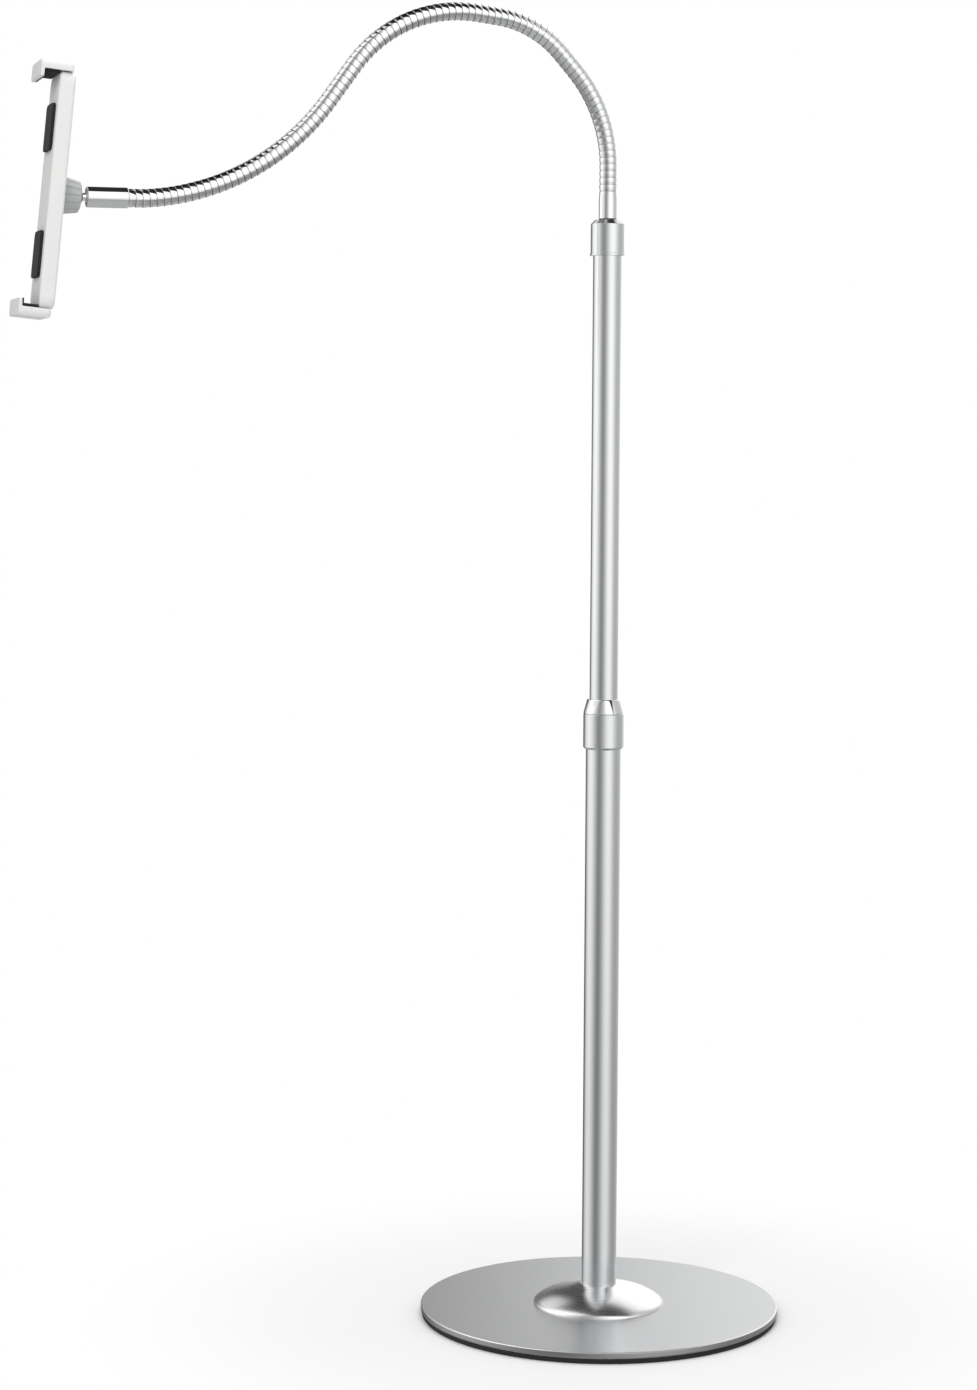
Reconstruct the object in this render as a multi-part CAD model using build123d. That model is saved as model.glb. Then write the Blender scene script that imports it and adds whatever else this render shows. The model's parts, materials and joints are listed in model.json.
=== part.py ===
from build123d import *
import math
import os

# Adjustable tablet floor stand. Millimetres, +Z up, origin at the centre of the foot on the floor.
# The gooseneck lies in the XZ plane and reaches toward -X. Y is the clamp's width.

# Clearances and cuts
running_gap = 0.05
loose_gap = 0.3
overrun = 20.0

# Base
base_radius = 140.0
plate_thickness = 5.0
plate_bevel = 0.8
foot_thickness = 4.0
foot_inset = 1.0
foot_bevel = 0.8
flange_radius = 51.0
flange_height = 15.5
flange_wall = 1.2
flange_shoulder_share = (0.93, 0.30)
flange_crown_share = (0.78, 0.62)
flange_dome_share = (0.55, 0.80)
flange_neck = 1.4
bolt_radius = 4.0
bolt_head_radius = 6.5
bolt_head_height = 2.0
bolt_socket_radius = 2.5
bolt_socket_depth = 1.3
bolt_reach = 24.0
washer_radius = 11.0
washer_thickness = 1.2
plug_height = 32.0

# Pole
lower_tube_radius = 13.5
lower_tube_wall = 1.5
lower_tube_top = 466.0
upper_tube_radius = 11.0
upper_tube_wall = 1.2
tube_overlap = 54.0
upper_tube_length = 438.0
upper_tube_bottom = lower_tube_top - tube_overlap
upper_tube_top = upper_tube_bottom + upper_tube_length

# Twist lock
collet_rise = 5.5
collet_top = lower_tube_top + collet_rise
collet_reach = 20.0
collet_flange = 2.5
collet_slot = 1.6
collet_slot_count = 4
lock_skirt = 19.5
lock_bottom = lower_tube_top - lock_skirt
lock_radius = 15.7
lock_headroom = 2.5
lock_step = collet_top + lock_headroom
cone_height = 11.3
lock_top = lock_step + cone_height
lock_chamfer = 1.6
lock_seam = 0.5
cone_top_radius = 12.3
cone_rim = 0.7

# Guide at the foot of the upper tube
bush_length = 24.0
end_cap_rim = 2.5
end_cap_plug = 8.0
rim_inset = 0.3
snap_ring = 1.5

# Neck root
collar_radius = 13.0
collar_skirt = 24.2
collar_bottom = upper_tube_top - collar_skirt
collar_headroom = 0.7
collar_roof = 2.4
collar_top = upper_tube_top + collar_headroom + collar_roof
collar_chamfer = 3.2
collar_bead = 0.35
collar_bead_height = 1.8
insert_height = 22.0
seal_radius = 7.8
seal_height = 1.7
seal_depth = 1.4
ferrule_radius = 7.0
ferrule_edge = 0.6
lower_ferrule_length = 21.0
lower_ferrule_top = collar_top - seal_depth + seal_height + lower_ferrule_length
stud_radius = 4.0
stud_reach = 18.0

# Gooseneck: straight runs joined by tangent bends, from the lower ferrule to the end ferrule
hose_radius = 6.5
hose_groove = 0.75
hose_bore = 2.5
hose_spigot_radius = 4.8
hose_spigot = 8.0
rib_pitch = 5.15
shoulder_share = 0.2
shoulder_drop_share = 0.3
hinge_run = 8.0
neck_rise = 18.9
bend_1_radius = 108.0
bend_1_turn = 42.0
bend_2_radius = 79.0
bend_2_turn = 41.0
bend_3_radius = 103.5
bend_3_turn = 61.0
neck_fall = 31.5
bend_4_radius = 188.0
bend_4_turn = 50.0
bend_5_radius = 60.0
neck_tail = 9.0
dome_angles = (28.0, 50.0)

# Ball joint
end_ferrule_radius = 7.5
end_ferrule_length = 30.8
stem_radius = 2.8
stem_seat = 12.0
stem_shown = 4.6
recess_radius = 4.2
recess_depth = 1.0
ball_radius = 8.0
nut_reach = 5.5
nut_wide_radius = 13.5
nut_narrow_radius = 11.4
nut_round = 1.0
nut_mouth = 6.0
nut_flutes = 14
flute_radius = 1.1
flute_sink = 0.35
socket_radius = 10.2
socket_reach = 3.0
collar_slot = 1.6
slot_foot = 2.0

# Clamp, in its own upright frame: u runs from the ball toward the tablet, v runs up
clamp_lean = 5.8
clamp_width = 50.0
body_back = 8.6
body_thickness = 11.5
body_wall = 2.2
body_corner = 8.0
body_edge = 2.5
cover_share = 0.5
pad_thickness = 2.5
pad_width = 30.0
pad_height = 34.0
pad_spread = 46.0
pad_corner = 4.0
grip_depth = 8.0
grip_low = -81.8
grip_high = 84.6
jaw_back = 10.8
jaw_plate = 6.6
jaw_round = 4.2
jaw_crown = 2.0
lip_wall = 2.4
lip_round = 0.8
lip_reach = 3.6
jaw_pad_thickness = 2.4
lip_pad_thickness = 1.5
jaw_pad_width = 42.0

# Slide and springs inside the clamp
bar_width = 22.0
bar_thickness = 3.0
bar_length = 104.0
bar_back = 12.6
spring_radius = 2.6
spring_wire = 0.6
spring_anchor = -58.0
anchor_radius = 1.6
arm_height = 5.0
screw_radius = 1.4
screw_head_radius = 2.6
screw_head_height = 1.4
screw_length = 7.0
screw_inset = 5.0
screw_rows = (-64.0, 74.0)
jaw_screw_offset = 7.0
jaw_screw_radius = 1.1
tongue_height = 12.0


def share(table, *sizes):
    """The point whose shares of the given sizes are in the table."""
    return tuple(part * size for part, size in zip(table, sizes))


def revolved(*points):
    """A solid of revolution about Z from its half outline in radius and height."""
    outline = Polyline(*points, close=True)
    return revolve(Plane.XZ * make_face(outline), Axis.Z)


def ring(outer, inner, low, high):
    """A plain tube about Z."""
    return revolved((inner, low), (outer, low), (outer, high), (inner, high))


def rod(radius, low, high):
    """A plain bar about Z."""
    return Pos(0, 0, low) * Cylinder(radius, high - low, align=(Align.CENTER, Align.CENTER, Align.MIN))


# Base

plate_low = foot_thickness
plate_high = foot_thickness + plate_thickness


def make_foot_pad():
    """The rubber mat glued under the plate, with a pocket above for the bolt's head and washer."""
    radius = base_radius - foot_inset
    pocket = washer_radius + loose_gap
    floor = plate_low - washer_thickness - bolt_head_height - loose_gap
    return revolved((0, 0), (radius - foot_bevel, 0), (radius, foot_bevel), (radius, plate_low),
                    (pocket, plate_low), (pocket, floor), (0, floor))


def make_base_plate():
    """The steel disc with a small bevel round both edges."""
    bolt_hole = bolt_radius + running_gap
    return revolved((bolt_hole, plate_low), (base_radius - plate_bevel, plate_low),
                    (base_radius, plate_low + plate_bevel), (base_radius, plate_high - plate_bevel),
                    (base_radius - plate_bevel, plate_high), (bolt_hole, plate_high))


def make_flange_cover():
    """The chromed dome that hides the foot of the pole."""
    hole = lower_tube_radius + running_gap
    width = flange_radius - hole
    shoulder = share(flange_shoulder_share, width, flange_height)
    crown = share(flange_crown_share, width, flange_height)
    dome = share(flange_dome_share, width, flange_height)
    outer = [(hole + shoulder[0], plate_high + shoulder[1]),
             (hole + crown[0], plate_high + crown[1]),
             (hole + dome[0], plate_high + dome[1]),
             (hole + flange_neck, plate_high + flange_height - flange_neck)]
    rim = (flange_radius, plate_high)
    neck = (hole, plate_high + flange_height)
    top = Spline(rim, *outer, tangents=((0, 1), (-1, 1)))
    inner = (flange_radius - flange_wall, plate_high)
    under = Polyline(neck, (hole, plate_high + flange_height - flange_wall - flange_neck),
                     (hole + dome[0], plate_high + dome[1] - flange_wall),
                     (hole + shoulder[0] - flange_wall, plate_high + shoulder[1]), inner, rim)
    lead = Line(outer[-1], neck)
    return revolve(Plane.XZ * make_face(top + lead + under), Axis.Z)


def make_base_bolt():
    """The low socket-head bolt that draws the plug and the tube down on the plate."""
    washer_low = plate_low - washer_thickness
    head_low = washer_low - bolt_head_height
    bolt = rod(bolt_head_radius, head_low, washer_low) + rod(bolt_radius, washer_low, plate_high + bolt_reach)
    socket = extrude(Pos(0, 0, head_low) * RegularPolygon(bolt_socket_radius, 6), bolt_socket_depth)
    return bolt - socket


def make_base_washer():
    """The wide washer between the bolt's head and the plate."""
    return ring(washer_radius, bolt_radius + running_gap, plate_low - washer_thickness, plate_low)


lower_tube_bore = lower_tube_radius - lower_tube_wall


def make_tube_foot_plug():
    """The threaded plug in the foot of the lower tube."""
    top = plate_high + plug_height
    plug = rod(lower_tube_bore - running_gap, plate_high, top)
    return plug - rod(bolt_radius + running_gap, plate_high - overrun, top + overrun)


# Pole

def make_lower_tube():
    """The outer tube, from the plate to the twist lock."""
    return ring(lower_tube_radius, lower_tube_bore, plate_high, lower_tube_top)


upper_tube_bore = upper_tube_radius - upper_tube_wall
sliding_bore = upper_tube_radius + running_gap
collet_low = lower_tube_top - collet_reach


def make_collet_sleeve():
    """The split bush in the mouth of the lower tube, which the cone squeezes on the upper tube."""
    sleeve = lower_tube_bore - running_gap
    flange_top = lower_tube_top + collet_flange
    collet = revolved((sliding_bore, collet_low), (sleeve, collet_low), (sleeve, lower_tube_top),
                      (lower_tube_radius, lower_tube_top), (lower_tube_radius, flange_top),
                      (sleeve, collet_top), (sliding_bore, collet_top))
    for index in range(collet_slot_count):
        slot = Box(lower_tube_radius + overrun, collet_slot, collet_top - lower_tube_top + overrun,
                   align=(Align.MIN, Align.CENTER, Align.MIN))
        turned = Rot(0, 0, index * 360 / collet_slot_count) * slot
        collet -= Pos(0, 0, lower_tube_top) * turned
    return collet


def make_lock_collar():
    """The satin sleeve of the twist lock, gripped by hand."""
    bore = lower_tube_radius + loose_gap
    return revolved((bore, lock_bottom), (lock_radius - lock_chamfer, lock_bottom),
                    (lock_radius, lock_bottom + lock_chamfer), (lock_radius, lock_step - lock_seam),
                    (lock_radius - lock_seam, lock_step), (bore, lock_step))


def make_lock_cone():
    """The polished cone on top of the sleeve, which closes down on the upper tube."""
    bore = upper_tube_radius + loose_gap
    return revolved((bore, lock_step), (lock_radius - lock_seam, lock_step),
                    (lock_radius, lock_step + lock_seam),
                    (cone_top_radius + cone_rim, lock_top - cone_rim), (cone_top_radius, lock_top),
                    (bore, lock_top))


def make_upper_tube():
    """The inner tube, from the guide bush to the top collar."""
    return ring(upper_tube_radius, upper_tube_bore, upper_tube_bottom, upper_tube_top)


bush_radius = lower_tube_bore - running_gap
ring_high = collet_low - loose_gap
ring_low = ring_high - snap_ring
bush_high = ring_low - loose_gap
bush_low = bush_high - bush_length


def make_guide_bush():
    """The nylon bush that centres the upper tube in the lower one."""
    return ring(bush_radius, sliding_bore, bush_low, bush_high)


def make_bush_ring():
    """The spring ring on the upper tube that stops the bush above."""
    return ring(bush_radius - rim_inset, upper_tube_radius, ring_low, ring_high)


def make_bush_end_cap():
    """The cap in the tube's lower end, whose rim carries the bush."""
    plug = upper_tube_bore - running_gap
    rim = bush_radius - rim_inset
    rim_low = upper_tube_bottom - end_cap_rim
    cap = rod(rim, rim_low, upper_tube_bottom)
    cap += rod(plug, upper_tube_bottom, upper_tube_bottom + end_cap_plug)
    sleeve = ring(rim, upper_tube_radius, upper_tube_bottom, bush_low - loose_gap)
    return cap + sleeve


# Neck root

def make_top_collar():
    """The satin cap on the upper tube, with a bead round its foot."""
    bore = upper_tube_radius + running_gap
    bead = collar_radius + collar_bead
    bead_top = collar_bottom + collar_bead_height
    roof = collar_top - collar_roof
    seat = seal_radius + running_gap
    seal_low = collar_top - seal_depth
    stud = stud_radius + running_gap
    return revolved((bore, collar_bottom), (bead, collar_bottom), (bead, bead_top), (collar_radius, bead_top),
                    (collar_radius, collar_top - collar_chamfer),
                    (collar_radius - collar_chamfer, collar_top),
                    (seat, collar_top), (seat, seal_low), (stud, seal_low), (stud, roof), (bore, roof))


def make_neck_insert():
    """The threaded plug under the collar's roof that the ferrule's stud screws into."""
    roof = collar_top - collar_roof
    low = upper_tube_top - insert_height
    plug = rod(upper_tube_bore - running_gap, low, roof)
    return plug - rod(stud_radius + running_gap, low - overrun, roof + overrun)


seal_low = collar_top - seal_depth
seal_high = seal_low + seal_height


def make_seal_ring():
    """The dark ring between the collar and the ferrule."""
    return ring(seal_radius, stud_radius + running_gap, seal_low, seal_high)


def make_lower_ferrule():
    """The chromed ferrule that holds the gooseneck's lower end."""
    socket = hose_spigot_radius + running_gap
    body = revolved((0, seal_high), (ferrule_radius - ferrule_edge, seal_high),
                    (ferrule_radius, seal_high + ferrule_edge),
                    (ferrule_radius, lower_ferrule_top - ferrule_edge),
                    (ferrule_radius - ferrule_edge, lower_ferrule_top), (0, lower_ferrule_top))
    body -= rod(socket, lower_ferrule_top - hose_spigot - loose_gap, lower_ferrule_top + overrun)
    return body + rod(stud_radius, seal_high - stud_reach, seal_high)


# Gooseneck

level_turn = 90
bend_5_turn = bend_1_turn + bend_2_turn + bend_3_turn - bend_4_turn - level_turn
runs = (("line", neck_rise), ("bend", bend_1_radius, bend_1_turn), ("line", hinge_run), ("hinge",),
        ("line", hinge_run), ("bend", bend_2_radius, bend_2_turn), ("line", hinge_run), ("hinge",),
        ("line", hinge_run), ("bend", bend_3_radius, bend_3_turn), ("line", neck_fall / 2), ("hinge",),
        ("line", neck_fall / 2), ("bend", bend_4_radius, -bend_4_turn), ("bend", bend_5_radius, -bend_5_turn),
        ("line", neck_tail))


class Stretch:
    """One straight run or one bend of the neck, with the place and heading along it."""

    def __init__(self, start, heading, length, radius=None, turn=0):
        self.start = start
        self.heading = heading
        self.length = length
        self.radius = radius
        self.turn = turn

    def at(self, along):
        """Place and heading, in degrees above +X, at a length along this stretch."""
        x, z = self.start
        if self.radius is None:
            angle = math.radians(self.heading)
            return (x + along * math.cos(angle), z + along * math.sin(angle)), self.heading
        side = math.copysign(1, self.turn)
        heading = self.heading + self.turn * along / self.length
        first = math.radians(self.heading)
        last = math.radians(heading)
        x += side * self.radius * (math.sin(last) - math.sin(first))
        z -= side * self.radius * (math.cos(last) - math.cos(first))
        return (x, z), heading

    def edge(self):
        """The line or arc itself."""
        ends = [self.at(part * self.length)[0] for part in (0, 0.5, 1)]
        first, middle, last = [(x, 0, z) for x, z in ends]
        if self.radius is None:
            return Line(first, last)
        return ThreePointArc(first, middle, last)


def lay_neck():
    """The neck's stretches, grouped into the spans between its hinges."""
    place = (0, lower_ferrule_top)
    heading = 90
    spans = [[]]
    for run in runs:
        if run[0] == "hinge":
            spans.append([])
            continue
        if run[0] == "line":
            stretch = Stretch(place, heading, run[1])
        else:
            stretch = Stretch(place, heading, run[1] * math.radians(abs(run[2])), run[1], run[2])
        spans[-1].append(stretch)
        place, heading = stretch.at(stretch.length)
    return spans


neck_spans = lay_neck()
neck_hinges = [span[-1].at(span[-1].length)[0] for span in neck_spans[:-1]]
neck_end = neck_spans[-1][-1].at(neck_tail)[0]


def on_span(span, along):
    """Place and heading at a length along a whole span, also a little before or beyond its ends."""
    for stretch in span[:-1]:
        if along <= stretch.length:
            return stretch.at(along)
        along -= stretch.length
    return span[-1].at(along)


def hoop(span, along, radius):
    """A circle square to the neck, turned the same way all along it."""
    (x, z), heading = on_span(span, along)
    angle = math.radians(heading)
    plane = Plane((x, 0, z), x_dir=(0, 1, 0), z_dir=(math.cos(angle), 0, math.sin(angle)))
    return plane * Circle(radius)


def make_span(index):
    """One span of the ribbed hose: ribs, bore, a spigot at a ferrule, a dome or a cup at a hinge."""
    span = neck_spans[index]
    length = sum(stretch.length for stretch in span)
    first = index == 0
    last = index == len(neck_spans) - 1
    ribs = round(length / rib_pitch)
    pitch = length / ribs
    shoulder = hose_radius - shoulder_drop_share * hose_groove
    groove = hose_radius - hose_groove
    hoops = []
    if first:
        hoops.append(hoop(span, -hose_spigot, hose_spigot_radius))
        hoops.append(hoop(span, 0, hose_spigot_radius))
    for rib in range(ribs):
        start = rib * pitch
        hoops.append(hoop(span, start, groove))
        hoops.append(hoop(span, start + shoulder_share * pitch, shoulder))
        hoops.append(hoop(span, start + pitch / 2, hose_radius))
        hoops.append(hoop(span, start + (1 - shoulder_share) * pitch, shoulder))
    hoops.append(hoop(span, length, groove))
    if last:
        hoops.append(hoop(span, length, hose_spigot_radius))
        hoops.append(hoop(span, length + hose_spigot, hose_spigot_radius))
        tail = hose_spigot
    else:
        for angle in dome_angles:
            turned = math.radians(angle)
            hoops.append(hoop(span, length + groove * math.sin(turned), groove * math.cos(turned)))
        tail = groove * math.sin(turned)
    hose = loft(hoops, ruled=True)
    head = hose_spigot if first else 0
    before = Line(*[(x, 0, z) for x, z in (span[0].at(-head - overrun)[0], span[0].at(0)[0])])
    beyond_start = span[-1].length
    beyond = Line(*[(x, 0, z) for x, z in (span[-1].at(beyond_start)[0],
                                           span[-1].at(beyond_start + tail + overrun)[0])])
    path = Wire([before.edge()] + [stretch.edge().edge() for stretch in span] + [beyond.edge()])
    hose -= sweep(hoop(span, -head - overrun, hose_bore), path=path)
    if not first:
        x, z = neck_hinges[index - 1]
        hose -= Pos(x, 0, z) * Sphere(hose_radius + loose_gap)
    return hose


# Ball joint. The neck ends level, so its stem runs along -X.

end_x, end_z = neck_end
ferrule_face = end_x - end_ferrule_length
ball_x = ferrule_face - stem_shown - nut_reach
ball_z = end_z


def along_neck_end(solid, x):
    """A solid made about +Z, laid along -X with its foot at the given place."""
    return Pos(x, 0, end_z) * Rot(0, -90, 0) * solid


def make_end_ferrule():
    """The chromed ferrule at the neck's end, with a recess round the stem."""
    length = end_ferrule_length
    body = revolved((0, 0), (end_ferrule_radius - ferrule_edge, 0), (end_ferrule_radius, ferrule_edge),
                    (end_ferrule_radius, length - ferrule_edge), (end_ferrule_radius - ferrule_edge, length),
                    (0, length))
    body -= rod(hose_spigot_radius + running_gap, -overrun, hose_spigot + loose_gap)
    body -= rod(stem_radius + running_gap, length - stem_seat, length + overrun)
    body -= rod(recess_radius, length - recess_depth, length + overrun)
    return along_neck_end(body, end_x)


def make_ball_stud():
    """The ball and the stem that turns in the end ferrule."""
    foot = end_ferrule_length - stem_seat + loose_gap
    centre = end_ferrule_length + stem_shown + nut_reach
    stud = rod(stem_radius, foot, centre) + Pos(0, 0, centre) * Sphere(ball_radius)
    return along_neck_end(stud, end_x)


# Clamp

def in_clamp(solid):
    """A solid from the clamp's upright frame, with X away from the tablet and the ball at its origin."""
    return Pos(ball_x, 0, ball_z) * Rot(0, clamp_lean, 0) * solid


def about_normal(*points):
    """A solid of revolution about the clamp's normal, from radius and depth toward the tablet."""
    return Rot(0, -90, 0) * revolved(*points)


def slab(near, far, low, high, width, middle=0):
    """A box from its depths, heights and width."""
    box = Box(far - near, width, high - low, align=(Align.MAX, Align.CENTER, Align.MIN))
    return Pos(-near, middle, low) * box


def tile(near, far, low, high, width, corner):
    """A slab whose outline, seen along the normal, has round corners."""
    plane = Plane((-near, 0, (low + high) / 2), x_dir=(0, 1, 0), z_dir=(-1, 0, 0))
    return extrude(plane * RectangleRounded(width, high - low, corner), far - near)


body_front = body_back + body_thickness
body_high = grip_high + jaw_pad_thickness - loose_gap
body_low = grip_low - jaw_pad_thickness
cover_front = body_back + cover_share * body_thickness
tablet_back = body_front + pad_thickness
lip_pad_back = tablet_back + grip_depth
lip_back = lip_pad_back + lip_pad_thickness
lip_front = lip_back + lip_wall


def make_locking_nut():
    """The fluted plastic nut that clamps the ball in its socket."""
    front = body_back - loose_gap
    bore = socket_radius + loose_gap
    shelf = -socket_reach - loose_gap
    nut = revolved((bore, front), (nut_wide_radius - nut_round, front), (nut_wide_radius, front - nut_round),
                   (nut_narrow_radius, -nut_reach + nut_round), (nut_narrow_radius - nut_round, -nut_reach),
                   (nut_mouth, -nut_reach), (nut_mouth, shelf), (bore, shelf))
    slope = math.degrees(math.atan2(nut_wide_radius - nut_narrow_radius, front + nut_reach - 2 * nut_round))
    middle = (nut_wide_radius + nut_narrow_radius) / 2 + flute_radius - flute_sink
    groove = Cylinder(flute_radius, front + nut_reach + overrun)
    laid = Pos(middle, 0, (front - nut_reach) / 2) * Rot(0, slope, 0) * groove
    turns = [(index + 0.5) * 360 / nut_flutes for index in range(nut_flutes)]
    nut -= [Rot(0, 0, turn) * laid for turn in turns]
    return in_clamp(Rot(0, -90, 0) * (nut - Sphere(ball_radius + loose_gap)))


socket_floor = body_back + body_wall


def socket_collar():
    """The slotted collar on the back cover that the ball snaps into."""
    collar = about_normal((0, -socket_reach), (socket_radius, -socket_reach), (socket_radius, socket_floor),
                          (0, socket_floor))
    collar -= Sphere(ball_radius + running_gap)
    for turn in (0, 90):
        slot = Box(overrun, collar_slot, 2 * (socket_radius + overrun),
                   align=(Align.MIN, Align.CENTER, Align.CENTER))
        collar -= Rot(turn, 0, 0) * Pos(slot_foot - body_back, 0, 0) * slot
    return collar


def body_shell(near, far, open_far):
    """One half of the clamp's casing, hollow on its inner side."""
    shell = tile(near, far, body_low, body_high, clamp_width, body_corner)
    outer_face = near if open_far else far
    edge_x = -outer_face
    rims = [edge for edge in shell.edges() if abs(edge.center().X - edge_x) < running_gap]
    shell = fillet(rims, body_edge)
    if open_far:
        hollow_near = near + body_wall
        hollow_far = far + overrun
    else:
        hollow_near = near - overrun
        hollow_far = far - body_wall
    hollow = tile(hollow_near, hollow_far, body_low + body_wall, body_high - body_wall,
                  clamp_width - 2 * body_wall, body_corner - body_wall)
    return shell - hollow


def bar_way():
    """The slot in the casing's top that the slide bar passes through."""
    near = bar_back - loose_gap
    far = bar_back + bar_thickness + loose_gap
    return slab(near, far, body_high - body_wall - overrun / 2, body_high + overrun,
                bar_width + 2 * loose_gap)


def tongue_way():
    """The slot in the casing's foot that the lower jaw's tongue sits in."""
    near = bar_back - running_gap
    far = bar_back + bar_thickness + running_gap
    return slab(near, far, body_low - overrun, body_low + body_wall + overrun / 2,
                bar_width + 2 * running_gap)


screw_column = clamp_width / 2 - screw_inset
spring_offset = (bar_width / 2 + clamp_width / 2 - body_wall) / 2


def screw_places():
    """Where the four screws join the casing's halves."""
    return [(side * screw_column, row) for side in (-1, 1) for row in screw_rows]


def boss(near, far, place, radius):
    """A round post along the normal."""
    y, height = place
    post = about_normal((0, near), (radius, near), (radius, far), (0, far))
    return Pos(0, y, height) * post


def make_clamp_back_cover():
    """The back half of the casing, with the ball's socket and the screw pillars."""
    cover = body_shell(body_back, cover_front, True) + socket_collar()
    cover -= Sphere(ball_radius + running_gap)
    for place in screw_places():
        cover += boss(body_back + body_edge, cover_front, place, screw_head_radius + body_wall / 2)
        cover -= boss(body_back - overrun, body_back + screw_head_height, place,
                      screw_head_radius + running_gap)
        cover -= boss(body_back, cover_front + overrun, place, screw_radius + running_gap)
    return in_clamp(cover - bar_way() - tongue_way())


def make_clamp_front_shell():
    """The front half of the casing, behind the pads."""
    shell = body_shell(cover_front, body_front, False)
    for place in screw_places():
        shell += boss(cover_front, body_front - body_wall, place, screw_head_radius)
        shell -= boss(cover_front - overrun, body_back + screw_length + loose_gap, place,
                      screw_radius + running_gap)
    anchor_y = spring_offset
    for side in (-1, 1):
        shell += boss(bar_back, body_front - body_wall / 2, (side * anchor_y, spring_anchor), anchor_radius)
    return in_clamp(shell - bar_way() - tongue_way())


def make_cover_screws():
    """The four screws from the back."""
    screws = []
    for place in screw_places():
        head = boss(body_back, body_back + screw_head_height, place, screw_head_radius)
        screws.append(in_clamp(head + boss(body_back, body_back + screw_length, place, screw_radius)))
    return Compound(screws)


def make_grip_pads():
    """The two soft pads that the tablet's back lies on."""
    middle = (body_low + body_high) / 2
    pads = []
    for side in (-1, 1):
        centre = middle + side * pad_spread
        pads.append(in_clamp(tile(body_front, tablet_back, centre - pad_height / 2, centre + pad_height / 2,
                                  pad_width, pad_corner)))
    return Compound(pads)


def jaw(seat, sign):
    """A jaw with its plate, crowned back and lip; sign is +1 above the tablet and -1 below it."""
    inner = seat + sign * jaw_pad_thickness
    outer = inner + sign * jaw_plate
    lip_end = seat - sign * lip_reach
    heights = sorted((inner, outer))
    plate = slab(jaw_back, lip_front, heights[0], heights[1], clamp_width)
    lip_heights = sorted((lip_end, inner))
    lip = slab(lip_back, lip_front, lip_heights[0], lip_heights[1], clamp_width)
    shape = plate + lip
    corners = [edge for edge in shape.edges().filter_by(Axis.X)
               if abs(edge.center().Z - outer) < running_gap]
    shape = fillet(corners, jaw_round)
    low_corners = [edge for edge in shape.edges().filter_by(Axis.X)
                   if abs(edge.center().Z - lip_end) < running_gap]
    shape = fillet(low_corners, lip_reach / 2)
    rims = [edge for edge in shape.edges() if abs(edge.center().X + lip_front) < running_gap]
    shape = fillet(rims, lip_round)
    heels = [edge for edge in shape.edges() if abs(edge.center().X + jaw_back) < running_gap
             and sign * (edge.center().Z - inner) > running_gap]
    return fillet(heels, jaw_crown)


def jaw_pad(seat, sign):
    """The soft lining of a jaw, under its plate and behind its lip."""
    inner = seat + sign * jaw_pad_thickness
    lip_end = seat - sign * lip_reach
    heights = sorted((seat, inner))
    near = body_front + (loose_gap if sign > 0 else 0)
    pad = slab(near, lip_back, heights[0], heights[1], jaw_pad_width)
    lip_heights = sorted((lip_end, inner))
    return pad + slab(lip_pad_back, lip_back, lip_heights[0], lip_heights[1], jaw_pad_width)


def make_lower_jaw():
    """The fixed jaw, on a tongue that runs up into the casing."""
    tongue = slab(bar_back, bar_back + bar_thickness, body_low - jaw_plate / 2, body_low + tongue_height,
                  bar_width)
    return in_clamp(jaw(grip_low, -1) + tongue)


def make_lower_jaw_pad():
    """The lining of the fixed jaw."""
    return in_clamp(jaw_pad(grip_low, -1))


bar_low = body_high - bar_length


bar_high = grip_high + jaw_pad_thickness + jaw_plate / 2


def jaw_screws(radius):
    """Two bars of the given radius where the screws join the upper jaw to its slide bar."""
    height = (grip_high + jaw_pad_thickness + bar_high) / 2
    return [boss(jaw_back, bar_back + bar_thickness, (side * jaw_screw_offset, height), radius)
            for side in (-1, 1)]


def make_jaw_screws():
    """The two grub screws through the jaw's back into its slide bar."""
    return Compound([in_clamp(screw) for screw in jaw_screws(jaw_screw_radius)])


def make_slide_bar():
    """The steel bar that carries the upper jaw, with a spring arm on either side at its foot."""
    bar = slab(bar_back, bar_back + bar_thickness, bar_low, bar_high, bar_width)
    arm_width = 2 * (spring_offset + spring_radius)
    bar += slab(bar_back, bar_back + bar_thickness, bar_low, bar_low + arm_height, arm_width)
    for hole in jaw_screws(jaw_screw_radius + running_gap):
        bar -= hole
    return in_clamp(bar)


def make_upper_jaw():
    """The sliding jaw, slotted for its bar and bored for its two screws."""
    shape = jaw(grip_high, 1)
    shape -= slab(bar_back - running_gap, bar_back + bar_thickness + running_gap, grip_high - overrun,
                  bar_high + running_gap, bar_width + 2 * running_gap)
    for hole in jaw_screws(jaw_screw_radius + running_gap):
        shape -= hole
    return in_clamp(shape)


def make_upper_jaw_pad():
    """The lining of the sliding jaw."""
    return in_clamp(jaw_pad(grip_high, 1))


def make_return_springs():
    """The two extension springs that draw the upper jaw down, as plain sleeves."""
    springs = []
    low = spring_anchor + anchor_radius + running_gap
    high = bar_low - running_gap
    depth = bar_back + bar_thickness / 2
    for side in (-1, 1):
        sleeve = ring(spring_radius, spring_radius - spring_wire, low, high)
        springs.append(in_clamp(Pos(-depth, side * spring_offset, 0) * sleeve))
    return Compound(springs)


# Every piece under its own name

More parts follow.
